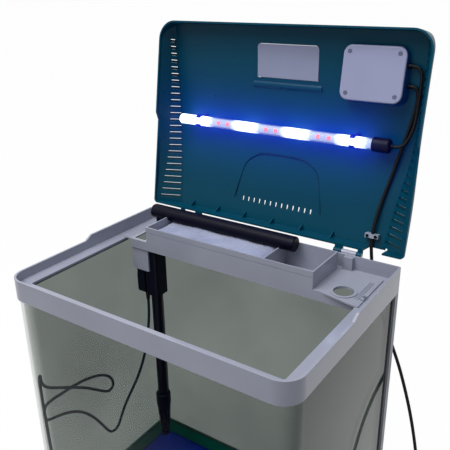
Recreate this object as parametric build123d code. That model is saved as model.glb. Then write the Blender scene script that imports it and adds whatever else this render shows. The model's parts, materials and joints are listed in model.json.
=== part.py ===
from build123d import *
import math
import os

os.makedirs("parts", exist_ok=True)

# Driving sizes in millimetres. Origin: middle of the footprint, on the surface the tank stands on.
# X runs to the right, Y to the rear, Z up.

# Plan of the tank, shared by the base tray and the top frame
TANK_W = 430.0
TANK_D = 293.0
FRONT_R = 26.0
REAR_R = 4.0
BAND_T = 3.0
FIT = 0.3

# Base tray and floor
BASE_H = 47.0
DECK_Z = 13.0
DECK_T = 3.0
RIB_T = 2.0
RIB_PITCH_X = 70.0
RIB_PITCH_Y = 56.0
RIB_LIFT = 3.0
FOOT_R = 12.0
MAT_T = 2.0

# Glass
GLASS_T = 4.0
SEAM = 5.0

# Top frame
RIM_Z = 472.0
RIM_STEP = 6.5
STEP_FRONT_Y = -5.0
STEP_REAR_Y = 7.0
SKIRT_H = 29.3
LEDGE_DROP = 12.8
LEDGE_T = 2.5
LEDGE_SIDE = 22.0
LEDGE_REAR = 14.0
OPENING_R = 3.0
CHANNEL_T = 2.0
CHANNEL_H = 9.0
POST_W = 13.0
TRIM_LEG = 14.0

# Lid hinge: two barrels along X behind the rear wall
HINGE_Y = 151.5
HINGE_Z = 478.2
HINGE_OPEN = 99.31
PIN_R = 2.0
PIN_RUN = 0.05
BARREL_R = 4.2
HINGE_X0 = 116.0
HINGE_X1 = 128.0
HINGE_X2 = 150.0
HINGE_X3 = 157.0
KNUCKLE_GAP = 0.4

# Lid shell. v is measured forward from its rear edge, w upward from its rear lip.
LID_HALF_W = 214.0
LID_REAR_Y = 144.2
LID_L = 290.5
LID_WALL = 2.5
LID_FRONT_R = 28.0
LID_REAR_R = 6.0
LID_REST = 0.3
LID_OVERRUN = 8.0
# Stations along v: roof height, half width of the roof, top of the side band, foot of the side slots
LID_STATIONS = [
    (0.0, 27.0, 175.0, 2.5, 5.0),
    (45.0, 32.0, 180.0, 5.0, 11.0),
    (95.0, 37.0, 187.5, 3.5, 16.5),
    (140.0, 40.5, 193.4, -1.0, 17.0),
    (190.0, 33.5, 196.0, -3.0, 16.0),
    (240.0, 25.0, 198.2, -3.0, 12.5),
    (290.5, 13.5, 199.5, -2.0, 6.5),
]
SLOT_COUNT = 25
SLOT_FIRST_V = 12.0
SLOT_PITCH = 10.4
SLOT_W = 4.6
SLOT_TOP_GAP = 1.5
GUSSET_T = 1.6
GUSSET_X = (-150.0, -100.0, -50.0, 0.0, 50.0, 100.0)
NOTCH_X0 = 157.5
NOTCH_X1 = 184.0
NOTCH_TOP_W = 27.0
VENT_COUNT = 13
VENT_PITCH = 9.8
VENT_V0 = 27.0
VENT_V1 = 34.0
VENT_W = 2.4
RECESS_DEPTH = 0.8

# Feeding hatch in the roof
HATCH_HALF_W = 50.0
HATCH_V0 = 217.0
HATCH_V1 = 265.0
HATCH_R = 6.0
HATCH_GAP = 0.5
HATCH_AXIS_V = 207.5
HATCH_AXIS_RISE = 1.5
HATCH_BARREL_R = 3.6
HATCH_CHANNEL_R = 4.6
HATCH_CHANNEL_WALL = 2.0
HATCH_PIN_R = 1.5

# Lamp along X under the roof
LAMP_V = 142.0
LAMP_W = 24.0
LAMP_X0 = -184.0
LAMP_X1 = 143.0
LAMP_X2 = 168.0
LAMP_R = 7.75
LAMP_BORE_R = 6.5
CAP_R = 10.0
CLIP_X = (-146.0, 115.0)
CLIP_W = 7.0
CLIP_T = 2.4
CLIP_MOUTH = 10.0
LED_COUNT = 18
LED_PITCH = 17.2
LED_FIRST_X = -163.6
LED_SIZE = 5.0
LED_RED = (3, 4, 8, 9, 13, 14)

# Power box under the roof
BOX_X0 = 91.0
BOX_X1 = 177.0
BOX_V0 = 197.0
BOX_V1 = 269.0
BOX_W = 10.0
BOX_COVER_T = 3.0
BOX_R = 12.0
BOX_DRAFT = 8.0
BOX_SCREW_INSET = 9.0
SCREW_HEAD_R = 2.6
SCREW_R = 1.3
SCREW_HEAD_T = 1.2
GLAND_R = 3.5
GLAND_X = 182.0
# Where each lead leaves the box: v, w
LAMP_LEAD_AT = (246.0, 19.0)
SUPPLY_LEAD_AT = (221.0, 24.0)

# Cable clamp on the rear edge of the roof
CLAMP_X0 = 149.5
CLAMP_X1 = 168.5
CLAMP_V0 = 14.0
CLAMP_V1 = 20.0
CLAMP_H = 6.2
CLAMP_X = 159.5
CLAMP_W = 24.4

# Filter tray hanging in the frame
TRAY_FRONT_Y = 58.0
TRAY_REAR_Y = 132.0
TRAY_WALL = 2.0
TROUGH_X0 = -150.0
TROUGH_X1 = 131.0
TROUGH_TOP = 14.0
TROUGH_DEPTH = 25.0
TRAY_LAP_X = 197.0
PLATE_T = 2.0
DIVIDER_X = 50.0
LEFT_PORT_X0 = -178.0
LEFT_PORT_X1 = -158.0
LEFT_PORT_Y0 = 63.0
LEFT_PORT_Y1 = 127.0
RIGHT_PORT_X = 167.0
RIGHT_PORT_Y = 73.0
RIGHT_PORT_R = 13.5
RIGHT_RING_R = 17.0
DRAIN_COUNT = 9

# Spray bar and riser
BAR_R = 11.0
BAR_BORE_R = 9.6
BAR_Y = 118.0
BAR_RISE = 16.0
BAR_X0 = -184.0
BAR_X1 = 71.0
BAR_SOCKET_X = -157.0
RISER_X = -168.0
RISER_R = 7.0
RISER_BORE_R = 5.2
JET_COUNT = 16
JET_PITCH = 12.0
JET_R = 1.5

# Pump hanging under the left platform
PUMP_Y = 77.0
PUMP_HALF_Y = 14.0
MOTOR_X0 = -180.0
MOTOR_X1 = -164.0
MOTOR_DROP0 = 105.0
MOTOR_DROP1 = 70.0
COLUMN_X0 = -163.7
COLUMN_X1 = -139.0
COLUMN_TOP_DROP = 30.0
IMPELLER_DROP = 86.0
IMPELLER_R = 9.0
CHAMBER_R = 10.5
CHAMBER_L = 11.0
SHAFT_R = 1.0
MAGNET_R = 5.0
MAGNET_WELL_R = 5.8
BLADE_COUNT = 6
INTAKE_X = -153.0
INTAKE_R = 8.5
INTAKE_BORE_R = 7.0
INTAKE_END_DROP = 303.0
COLLAR_R = 12.5
COLLAR_L = 20.0
STRAINER_L = 70.0
STRAINER_TIP_R = 7.0
STRAINER_SLOTS = 7
STRAP_X0 = -181.7
STRAP_X1 = -150.7
STRAP_T = 2.7
STRAP_END_DROP = 62.0
PUMP_GLAND_X = -172.0
PUMP_GLAND_L = 18.0

# Cords
LEAD_D = 4.5
MAINS_D = 5.0
PUMP_CORD_D = 4.5
COIL_R = 37.0
COIL_PITCH = 6.4
COIL_LAYER = 5.6
COIL_CENTRE = (330.0, 229.0)
COIL_TURNS_LOW = 2.5
COIL_TURNS_TOP = 3.0
PLUG_L = 34.0
PLUG_W = 26.0
PLUG_H = 15.0
PRONG_R = 2.0
PRONG_L = 19.0
PRONG_SPACING = 18.6

# Heights and places worked out from the sizes above
GLASS_Z0 = DECK_Z + DECK_T + MAT_T
FLOOR_Z = GLASS_Z0 + GLASS_T
LEDGE_Z = RIM_Z - LEDGE_DROP
GLASS_Z1 = LEDGE_Z - LEDGE_T
SKIRT_Z = RIM_Z - SKIRT_H
REAR_RIM_Z = RIM_Z + RIM_STEP
LID_LIP_Z = REAR_RIM_Z + LID_REST
OPENING_X = TANK_W / 2 - LEDGE_SIDE
OPENING_Y0 = -TANK_D / 2 + LEDGE_SIDE
OPENING_Y1 = TANK_D / 2 - LEDGE_REAR
BAR_Z = RIM_Z + BAR_RISE
LAMP_Y = LID_REAR_Y - LAMP_V
LAMP_Z = LID_LIP_Z + LAMP_W
PLATE_TOP = LEDGE_Z + PLATE_T


def save(name, *solids):
    shape = solids[0] if len(solids) == 1 else Compound(children=list(solids))
    export_step(shape, f"parts/{name}.step")


def block(x0, x1, y0, y1, z0, z1):
    size = Box(x1 - x0, y1 - y0, z1 - z0)
    return Pos((x0 + x1) / 2, (y0 + y1) / 2, (z0 + z1) / 2) * size


def rod_x(radius, x0, x1, y, z):
    return Pos((x0 + x1) / 2, y, z) * Rot(0, 90, 0) * Cylinder(radius, x1 - x0)


def rod_z(radius, x, y, z0, z1):
    return Pos(x, y, (z0 + z1) / 2) * Cylinder(radius, z1 - z0)


def side_prism(points, x0, x1):
    """A profile of (y, z) points, pushed along X."""
    face = Face(Wire.make_polygon([(x0, y, z) for y, z in points], close=True))
    return extrude(face, x1 - x0, dir=(1, 0, 0))


def plan(half_w, y0, y1, front_r, rear_r):
    """A rectangle in plan with its own front and rear corner radii."""
    face = Pos(0, (y0 + y1) / 2) * Rectangle(2 * half_w, y1 - y0)
    face = fillet(face.vertices().sort_by(Axis.Y)[:2], front_r)
    return fillet(face.vertices().sort_by(Axis.Y)[-2:], rear_r)


def outline(inset):
    """The tank's plan, drawn in by inset."""
    half_d = TANK_D / 2 - inset
    rear_r = max(REAR_R - inset, 0.4)
    return plan(TANK_W / 2 - inset, -half_d, half_d, FRONT_R - inset, rear_r)


def slab(inset, z0, z1):
    return extrude(Pos(0, 0, z0) * outline(inset), z1 - z0)


def ring(outer_inset, inner_inset, z0, z1):
    return slab(outer_inset, z0, z1) - slab(inner_inset, z0 - 1, z1 + 1)


def both_sides(shape):
    return shape + mirror(shape, about=Plane.YZ)


# Base tray: a band round the glass, a deck that carries the floor, ribs and a middle foot under it
def base_tray():
    tray = ring(0, BAND_T, 0, BASE_H)
    tray += slab(BAND_T / 2, DECK_Z, DECK_Z + DECK_T)
    ribs = []
    columns = int(TANK_W / 2 // RIB_PITCH_X)
    for k in range(-columns, columns + 1):
        x = k * RIB_PITCH_X
        ribs.append(block(x - RIB_T / 2, x + RIB_T / 2, -TANK_D / 2, TANK_D / 2, RIB_LIFT, DECK_Z + 1))
    rows = int(TANK_D / 2 // RIB_PITCH_Y)
    for k in range(-rows, rows + 1):
        y = k * RIB_PITCH_Y
        ribs.append(block(-TANK_W / 2, TANK_W / 2, y - RIB_T / 2, y + RIB_T / 2, RIB_LIFT, DECK_Z + 1))
    tray += (Part() + ribs) & slab(BAND_T / 2, 0, BASE_H)
    return tray + rod_z(FOOT_R, 0, 0, 0, DECK_Z + 1)


def floor_mat():
    return slab(BAND_T + FIT, DECK_Z + DECK_T, GLASS_Z0)


# Glass: one pane bent round the front and both sides, a back pane between its wings, and a floor
BACK_Y1 = TANK_D / 2 - BAND_T - FIT
BACK_Y0 = BACK_Y1 - GLASS_T
INNER_X = TANK_W / 2 - BAND_T - GLASS_T


def bent_glass():
    """The bent pane: the plan's ring with its rear side taken out between the wings."""
    walls = ring(BAND_T, BAND_T + GLASS_T, GLASS_Z0, GLASS_Z1)
    rear = block(-INNER_X, INNER_X, BACK_Y0 - 1, TANK_D, 0, RIM_Z)
    corner = block(-TANK_W, TANK_W, BACK_Y1, TANK_D, 0, RIM_Z)
    return walls - rear - corner


def back_glass():
    return block(-INNER_X + FIT, INNER_X - FIT, BACK_Y0, BACK_Y1, GLASS_Z0, GLASS_Z1)


def bottom_glass():
    pane = slab(BAND_T + GLASS_T + FIT, GLASS_Z0, FLOOR_Z)
    return pane - block(-TANK_W, TANK_W, BACK_Y0 - FIT, TANK_D, 0, RIM_Z)


def glass_seams():
    """Silicone fillets in the two rear corners."""
    x = INNER_X
    corner = [(x, BACK_Y0), (x - SEAM, BACK_Y0), (x, BACK_Y0 - SEAM)]
    face = Face(Wire.make_polygon([(a, b, FLOOR_Z) for a, b in corner], close=True))
    bead = extrude(face, GLASS_Z1 - CHANNEL_H - FLOOR_Z, dir=(0, 0, 1))
    return bead, mirror(bead, about=Plane.YZ)


def corner_trim():
    """An L-shaped guard outside a rear corner, between the base band and the frame's skirt."""
    guard = ring(0, BAND_T, BASE_H, SKIRT_Z)
    x = TANK_W / 2
    return guard & block(x - TRIM_LEG, x + 1, TANK_D / 2 - TRIM_LEG, TANK_D / 2 + 1, 0, RIM_Z)


# Top frame: band with a stepped rim, ledge for the tray, channel for the glass, hinge ears
def rim_step_profile(lift):
    """Everything above the rim, as a (y, z) profile; the rear half stands one step higher."""
    far = TANK_D
    return [
        (-far, RIM_Z + lift),
        (STEP_FRONT_Y, RIM_Z + lift),
        (STEP_REAR_Y, REAR_RIM_Z + lift),
        (far, REAR_RIM_Z + lift),
    ]


def hinge_ear():
    x0 = HINGE_X1 + KNUCKLE_GAP
    x1 = HINGE_X2 - KNUCKLE_GAP
    wall_y = TANK_D / 2 - BAND_T / 2
    web = [
        (wall_y, HINGE_Z - 14),
        (HINGE_Y, HINGE_Z - BARREL_R),
        (HINGE_Y, HINGE_Z),
        (wall_y, HINGE_Z),
    ]
    ear = side_prism(web, x0, x1) + rod_x(BARREL_R, x0, x1, HINGE_Y, HINGE_Z)
    return ear - rod_x(PIN_R, x0 - 1, x1 + 1, HINGE_Y, HINGE_Z)


def top_frame():
    above = rim_step_profile(0) + [(TANK_D, REAR_RIM_Z + 50), (-TANK_D, REAR_RIM_Z + 50)]
    frame = ring(0, BAND_T, SKIRT_Z, REAR_RIM_Z + 5)
    frame -= side_prism(above, -TANK_W, TANK_W)
    opening = plan(OPENING_X, OPENING_Y0, OPENING_Y1, OPENING_R, OPENING_R)
    hole = extrude(Pos(0, 0, SKIRT_Z) * opening, RIM_Z)
    channel_in = BAND_T + GLASS_T + FIT
    frame += slab(BAND_T / 2, GLASS_Z1, LEDGE_Z) - hole
    frame += ring(channel_in, channel_in + CHANNEL_T, GLASS_Z1 - CHANNEL_H, GLASS_Z1 + 1)
    post_x = HINGE_X2 - POST_W
    wall_y = TANK_D / 2 - BAND_T / 2
    post = block(post_x, HINGE_X2, wall_y - 8, wall_y, LEDGE_Z - 1, REAR_RIM_Z - 1)
    return frame + both_sides(post) + both_sides(hinge_ear())


def hinge_pin():
    return rod_x(PIN_R, HINGE_X0, HINGE_X3, HINGE_Y, HINGE_Z)


# Lid shell, drawn closed on the frame and then turned open about the hinge
def opened(shape):
    return shape.rotate(Axis((0, HINGE_Y, HINGE_Z), (1, 0, 0)), -HINGE_OPEN)


def at(x, v, w):
    """A point of the closed lid."""
    return (x, LID_REAR_Y - v, LID_LIP_Z + w)


def station(v):
    """Roof height, roof half width, band top and slot foot at v."""
    for near, far in zip(LID_STATIONS, LID_STATIONS[1:]):
        if v <= far[0]:
            break
    share = (v - near[0]) / (far[0] - near[0])
    return [a + share * (b - a) for a, b in zip(near[1:], far[1:])]


def lid_section(v, roof, edge, band, grow):
    """The lid's cross-section at v: inside for grow 0, outside when grown by the wall."""
    inner_x = LID_HALF_W - LID_WALL
    lean = math.atan2(roof - band, inner_x - edge)
    edge_x = edge + grow * math.tan(lean / 2)
    band_w = band + grow * math.tan((math.pi / 2 - lean) / 2)
    low = -14.0
    right = [(inner_x + grow, low), (inner_x + grow, band_w), (edge_x, roof + grow)]
    left = [(-x, w) for x, w in reversed(right)]
    return Face(Wire.make_polygon([at(x, v, w) for x, w in right + left], close=True))


def lid_form(grow, inset):
    """The crowned block between the stations, trimmed to the lid's plan."""
    first, last = LID_STATIONS[0], LID_STATIONS[-1]
    before = (first[0] - LID_OVERRUN, *first[1:4])
    beyond = (last[0] + LID_OVERRUN, *last[1:4])
    form = loft([lid_section(*s[:4], grow) for s in [before, *LID_STATIONS, beyond]])
    front = LID_REAR_Y - LID_L + inset
    edge = plan(LID_HALF_W - inset, front, LID_REAR_Y - inset, LID_FRONT_R - inset, LID_REAR_R - inset)
    return form & extrude(Pos(0, 0, LID_LIP_Z - 40) * edge, 140)


def side_slot(v, side):
    """A cutter for one slot, square to the lid's sloping side."""
    roof, edge, band, foot = station(v)
    inner_x = LID_HALF_W - LID_WALL
    slope = (inner_x - edge) / (roof - band)
    low = Vector(*at(side * (inner_x - (foot - band) * slope), v, foot))
    top_w = roof - SLOT_TOP_GAP
    high = Vector(*at(side * (inner_x - (top_w - band) * slope), v, top_w))
    along = (high - low).normalized()
    face = Plane(origin=(low + high) / 2, x_dir=along, z_dir=along.cross(Vector(0, 1, 0)))
    length = (high - low).length
    return extrude(face * SlotOverall(length, SLOT_W), 7, both=True)


def roof_prism(points, radius, w0, w1):
    """A prism through the roof, drawn as (x, v) points with rounded corners."""
    face = make_face(Polyline(*[at(x, v, w0) for x, v in points], close=True))
    if radius:
        face = fillet(face.vertices(), radius)
    return extrude(face, w1 - w0, dir=(0, 0, 1))


def hatch_shape(gap):
    """The door's plan: square at the hinge, rounded at its free corners."""
    half = HATCH_HALF_W - gap
    y_hinge = LID_REAR_Y - HATCH_V0 - gap
    y_free = LID_REAR_Y - HATCH_V1 + gap
    face = plan(half, y_free, y_hinge, HATCH_R - gap, 0.8)
    return extrude(Pos(0, 0, LID_LIP_Z) * face, 60)


HATCH_ROOF = station(HATCH_AXIS_V)[0] + LID_WALL
HATCH_Y = LID_REAR_Y - HATCH_AXIS_V
HATCH_Z = LID_LIP_Z + HATCH_ROOF + HATCH_AXIS_RISE


def lid_knuckles():
    """Two barrels each side of a hinge ear, and the tab that joins them to the lid's rear wall."""
    tab_z0 = REAR_RIM_Z + 0.5
    tab_z1 = HINGE_Z + BARREL_R
    wall_y = LID_REAR_Y - LID_WALL / 2
    knuckles = Part()
    for x0, x1 in ((HINGE_X0, HINGE_X1), (HINGE_X2, HINGE_X3)):
        knuckles += rod_x(BARREL_R, x0, x1, HINGE_Y, HINGE_Z)
        knuckles += block(x0, x1, wall_y, HINGE_Y, tab_z0, tab_z1)
    return knuckles - rod_x(PIN_R + PIN_RUN, HINGE_X0 - 1, HINGE_X3 + 1, HINGE_Y, HINGE_Z)


OUTER_FORM = lid_form(LID_WALL, 0)
INNER_FORM = lid_form(0, LID_WALL)


def lid_shell():
    below = rim_step_profile(LID_REST) + [(TANK_D, RIM_Z - 60), (-TANK_D, RIM_Z - 60)]
    recess = roof_prism([(-75, 30), (75, 30), (63, 86), (36, 106), (-36, 106), (-63, 86)], 8, 20, 60)
    hollow = INNER_FORM + (recess & (Pos(0, 0, RECESS_DEPTH) * INNER_FORM))
    lid = OUTER_FORM - hollow
    channel_x = HATCH_HALF_W + 4
    tube_r = HATCH_CHANNEL_R + HATCH_CHANNEL_WALL
    end = HATCH_CHANNEL_WALL
    channel = rod_x(tube_r, -channel_x - end, channel_x + end, HATCH_Y, HATCH_Z)
    lid += channel & OUTER_FORM
    lid -= rod_x(HATCH_CHANNEL_R, -channel_x, channel_x, HATCH_Y, HATCH_Z)
    lid -= rod_x(HATCH_PIN_R + PIN_RUN, -channel_x - end - 1, channel_x + end + 1, HATCH_Y, HATCH_Z)
    lid -= hatch_shape(0)
    for x in GUSSET_X:
        gusset = [at(x, 1, 13)[1:], at(x, 1, 28)[1:], at(x, 12, 29.4)[1:]]
        lid += side_prism(gusset, x - GUSSET_T / 2, x + GUSSET_T / 2)
    lid -= side_prism(below, -TANK_W, TANK_W)
    notch = roof_prism([(NOTCH_X0, -2), (NOTCH_X1, -2), (NOTCH_X1, 4), (NOTCH_X0, 4)], 0, -10, NOTCH_TOP_W)
    lid -= notch
    slots = [side_slot(SLOT_FIRST_V + SLOT_PITCH * k, side) for k in range(SLOT_COUNT) for side in (-1, 1)]
    vents = []
    for k in range(VENT_COUNT):
        x = (k - (VENT_COUNT - 1) / 2) * VENT_PITCH
        y = LID_REAR_Y - (VENT_V0 + VENT_V1) / 2
        vents.append(block(x - VENT_W / 2, x + VENT_W / 2, y - 3.5, y + 3.5, LID_LIP_Z + 20, LID_LIP_Z + 50))
    lid -= slots + vents
    return lid + both_sides(lid_knuckles())


# Feeding hatch: the piece of roof that fills the opening, its neck, its hinge barrel and two pins
def feeding_hatch():
    roof = OUTER_FORM - INNER_FORM
    door = roof & hatch_shape(HATCH_GAP)
    neck_z0 = HATCH_Z - HATCH_AXIS_RISE + 0.4
    neck = block(-HATCH_HALF_W + 3, HATCH_HALF_W - 3, HATCH_Y - 16, HATCH_Y, neck_z0, neck_z0 + 2)
    barrel = rod_x(HATCH_BARREL_R, -HATCH_HALF_W - 3, HATCH_HALF_W + 3, HATCH_Y, HATCH_Z)
    pad = block(-HATCH_HALF_W + 3, HATCH_HALF_W - 3, HATCH_Y - 16, HATCH_Y - 11, neck_z0 - 4, neck_z0 + 1)
    door += neck + pad + barrel
    return door - rod_x(HATCH_PIN_R, -HATCH_HALF_W - 4, HATCH_HALF_W + 4, HATCH_Y, HATCH_Z)


def hatch_pin():
    reach = HATCH_HALF_W + 4 + HATCH_CHANNEL_WALL
    return rod_x(HATCH_PIN_R, -reach, reach, HATCH_Y, HATCH_Z)


# Lamp: clear tube, closed at its left end, with a strip of diodes and a black cap at the right
def lamp_tube():
    tube = rod_x(LAMP_R, LAMP_X0, LAMP_X1 + 5, LAMP_Y, LAMP_Z)
    tube = fillet(tube.edges().sort_by(Axis.X)[0], 3)
    return tube - rod_x(LAMP_BORE_R, LAMP_X0 + 3, LAMP_X1 + 6, LAMP_Y, LAMP_Z)


def lamp_end_cap():
    cap = rod_x(CAP_R, LAMP_X1, LAMP_X2, LAMP_Y, LAMP_Z)
    cap = chamfer(cap.edges().sort_by(Axis.X)[0], 1.0)
    cap = fillet(cap.edges().sort_by(Axis.X)[-1], 4)
    cap += rod_x(GLAND_R, LAMP_X2 - 1, LAMP_X2 + 3, LAMP_Y, LAMP_Z)
    return cap - rod_x(LAMP_R + PIN_RUN, LAMP_X1 - 1, LAMP_X1 + 5.2, LAMP_Y, LAMP_Z)


STRIP_Z0 = LAMP_Z + 1.6


def led_strip():
    """The strip's edges lie on the tube's bore."""
    half = math.sqrt(LAMP_BORE_R**2 - (STRIP_Z0 + 1 - LAMP_Z) ** 2) - 0.15
    return block(LAMP_X0 + 5, LAMP_X1 + 3, LAMP_Y - half, LAMP_Y + half, STRIP_Z0, STRIP_Z0 + 1)


def led(k):
    x = LED_FIRST_X + LED_PITCH * k
    half = LED_SIZE / 2
    return block(x - half, x + half, LAMP_Y - half, LAMP_Y + half, STRIP_Z0 - 1.6, STRIP_Z0)


UNDER_ROOF = Pos(0, 0, -0.15) * INNER_FORM


def lamp_clip(x):
    """A snap ring round the tube, on a stem and a foot that is screwed to the roof."""
    x0 = x - CLIP_W / 2
    x1 = x + CLIP_W / 2
    inner = LAMP_R + PIN_RUN
    clip = rod_x(inner + CLIP_T, x0, x1, LAMP_Y, LAMP_Z)
    clip += block(x0, x1, LAMP_Y - 3, LAMP_Y + 3, LAMP_Z, LAMP_Z + 20)
    clip += block(x0, x1, LAMP_Y - 10, LAMP_Y + 10, LAMP_Z + 13.5, LAMP_Z + 20)
    clip -= rod_x(inner, x0 - 1, x1 + 1, LAMP_Y, LAMP_Z)
    clip -= block(x0 - 1, x1 + 1, LAMP_Y - CLIP_MOUTH / 2, LAMP_Y + CLIP_MOUTH / 2, LAMP_Z - 20, LAMP_Z)
    return clip & UNDER_ROOF


# Power box: a drafted body that follows the roof, a screwed cover and two glands
def box_plan():
    y0 = LID_REAR_Y - BOX_V1
    y1 = LID_REAR_Y - BOX_V0
    face = Pos((BOX_X0 + BOX_X1) / 2, (y0 + y1) / 2) * Rectangle(BOX_X1 - BOX_X0, y1 - y0)
    return fillet(face.vertices(), BOX_R)


def box_screw_places():
    for x in (BOX_X0 + BOX_SCREW_INSET, BOX_X1 - BOX_SCREW_INSET):
        for v in (BOX_V0 + BOX_SCREW_INSET, BOX_V1 - BOX_SCREW_INSET):
            yield x, LID_REAR_Y - v


BOX_Z = LID_LIP_Z + BOX_W


def power_box():
    z0 = BOX_Z + BOX_COVER_T
    body = extrude(Pos(0, 0, z0) * box_plan(), 30, taper=-BOX_DRAFT) & UNDER_ROOF
    for x, y in box_screw_places():
        body -= rod_z(SCREW_R + 0.1, x, y, z0 - 1, z0 + 4)
    return body


def power_box_cover():
    cover = extrude(Pos(0, 0, BOX_Z) * box_plan(), BOX_COVER_T)
    cover = fillet(cover.edges().group_by(Axis.Z)[0], 2)
    for x, y in box_screw_places():
        cover -= rod_z(SCREW_HEAD_R + 0.4, x, y, BOX_Z - 1, BOX_Z + 1.4)
        cover -= rod_z(SCREW_R + 0.1, x, y, BOX_Z - 1, BOX_Z + 5)
    return cover


def box_screw(x, y):
    seat = BOX_Z + 1.4
    head = rod_z(SCREW_HEAD_R, x, y, seat - SCREW_HEAD_T, seat)
    return head + rod_z(SCREW_R, x, y, seat, BOX_Z + BOX_COVER_T + 3.5)


def gland(v, w):
    """A lead's gland on the box's right side."""
    _, y, z = at(0, v, w)
    return rod_x(GLAND_R, BOX_X1 - 2, GLAND_X, y, z) - power_box()


def cable_clamp():
    y0 = LID_REAR_Y - CLAMP_V1
    y1 = LID_REAR_Y - CLAMP_V0
    z = LID_LIP_Z + CLAMP_W
    clamp = block(CLAMP_X0, CLAMP_X1, y0, y1, z - CLAMP_H / 2, z + CLAMP_H) & UNDER_ROOF
    hole = Pos(CLAMP_X, (y0 + y1) / 2, z) * Rot(90, 0, 0) * Cylinder(LEAD_D / 2 + PIN_RUN, y1 - y0 + 2)
    return clamp - hole


def clamp_screw(x):
    y = LID_REAR_Y - (CLAMP_V0 + CLAMP_V1) / 2
    z = LID_LIP_Z + CLAMP_W - CLAMP_H / 2
    return rod_z(SCREW_HEAD_R - 0.4, x, y, z - SCREW_HEAD_T, z)


# Filter tray: a deep trough between two platforms whose edges lie on the frame's ledge
TROUGH_Z0 = RIM_Z - TROUGH_DEPTH
TROUGH_Z1 = RIM_Z + TROUGH_TOP


def filter_tray():
    y0, y1, t = TRAY_FRONT_Y, TRAY_REAR_Y, TRAY_WALL
    tray = block(TROUGH_X0, TROUGH_X1, y0, y1, TROUGH_Z0, TROUGH_Z1)
    tray -= block(TROUGH_X0 + t, TROUGH_X1 - t, y0 + t, y1 - t, TROUGH_Z0 + t, TROUGH_Z1 + 1)
    tray += block(DIVIDER_X, DIVIDER_X + t, y0 + 1, y1 - 1, TROUGH_Z0 + 1, TROUGH_Z1 - 5)
    tray += block(-TRAY_LAP_X, TROUGH_X0 + 1, y0, y1, LEDGE_Z, PLATE_TOP)
    bay = plan(TRAY_LAP_X, y0, y1, 0.5, 0.5)
    right = extrude(Pos(0, 0, LEDGE_Z) * bay, PLATE_T) & block(TROUGH_X1 - 1, TANK_W, 0, TANK_D, 0, RIM_Z)
    nose = [(TROUGH_X1 + 8, y0 + 1), (OPENING_X - 3, y0 - 10), (TRAY_LAP_X, y0 - 10), (TRAY_LAP_X, y0 + 1)]
    nose_face = Face(Wire.make_polygon([(x, y, LEDGE_Z) for x, y in nose], close=True))
    tray += right + extrude(nose_face, PLATE_T, dir=(0, 0, 1))
    apron_x = OPENING_X - 7
    tray += block(-apron_x + 4, TROUGH_X0 + 1, y0, y0 + t, TROUGH_Z0, PLATE_TOP)
    tray += block(TROUGH_X1 - 1, apron_x, y0, y0 + t, TROUGH_Z0, PLATE_TOP)
    tray -= block(LEFT_PORT_X0, LEFT_PORT_X1, LEFT_PORT_Y0, LEFT_PORT_Y1, LEDGE_Z - 1, PLATE_TOP + 1)
    port = rod_z(RIGHT_RING_R, RIGHT_PORT_X, RIGHT_PORT_Y, LEDGE_Z, PLATE_TOP + 1.5)
    tray += port
    tray -= rod_z(RIGHT_PORT_R, RIGHT_PORT_X, RIGHT_PORT_Y, LEDGE_Z - 1, PLATE_TOP + 2)
    for k in range(3):
        x = RIGHT_PORT_X + RIGHT_RING_R + 1.5 + 2.4 * k
        tray -= block(x, x + 1.2, y0 + 6, y1 - 16, PLATE_TOP - 0.8, PLATE_TOP + 1)
    groove_z = RIM_Z + 5
    tray -= block(TROUGH_X0 - 1, TROUGH_X1 + 1, y0 - 1, y0 + 0.6, groove_z, groove_z + 1.2)
    tray -= rod_x(BAR_R + PIN_RUN, TROUGH_X0 - 1, DIVIDER_X + t + 1, BAR_Y, BAR_Z)
    drain = (DIVIDER_X - TROUGH_X0) / (DRAIN_COUNT + 1)
    for k in range(DRAIN_COUNT):
        x = TROUGH_X0 + drain * (k + 1)
        tray -= block(x - 2, x + 2, y0 + 12, y1 - 12, TROUGH_Z0 - 1, TROUGH_Z0 + t + 1)
    return tray


def tray_catch():
    x = TRAY_LAP_X - 4
    foot = block(x, x + 4, TRAY_FRONT_Y + 6, TRAY_FRONT_Y + 18, PLATE_TOP, PLATE_TOP + 2)
    return foot + block(x + 1, x + 3, TRAY_FRONT_Y + 10, TRAY_FRONT_Y + 14, PLATE_TOP, PLATE_TOP + 5)


def filter_wool():
    x0 = TROUGH_X0 + TRAY_WALL + FIT
    x1 = DIVIDER_X - FIT
    y0 = TRAY_FRONT_Y + TRAY_WALL + FIT
    y1 = TRAY_REAR_Y - TRAY_WALL - FIT
    wool = block(x0, x1, y0, y1, TROUGH_Z0 + TRAY_WALL, RIM_Z + 8)
    wool = fillet(wool.edges().group_by(Axis.Z)[-1], 5)
    return wool - rod_x(BAR_R + FIT, x0 - 1, x1 + 1, BAR_Y, BAR_Z)


# Spray bar: a drilled tube along the tray, a plug in its right end, an elbow at its left end
def spray_bar():
    bar = rod_x(BAR_R, BAR_SOCKET_X, BAR_X1, BAR_Y, BAR_Z)
    bar -= rod_x(BAR_BORE_R, BAR_SOCKET_X - 1, BAR_X1 + 1, BAR_Y, BAR_Z)
    for k in range(JET_COUNT):
        x = TROUGH_X0 + 12 + JET_PITCH * k
        bar -= Pos(x, BAR_Y - 6, BAR_Z - 7) * Rot(-40, 0, 0) * Cylinder(JET_R, 12)
    return bar


def bar_plug():
    plug = rod_x(BAR_R, BAR_X1, BAR_X1 + 3, BAR_Y, BAR_Z)
    plug = fillet(plug.edges().sort_by(Axis.X)[-1], 2)
    return plug + rod_x(BAR_BORE_R, BAR_X1 - 6, BAR_X1 + 1, BAR_Y, BAR_Z)


SOCKET_Z = PLATE_TOP + 5.0


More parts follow.
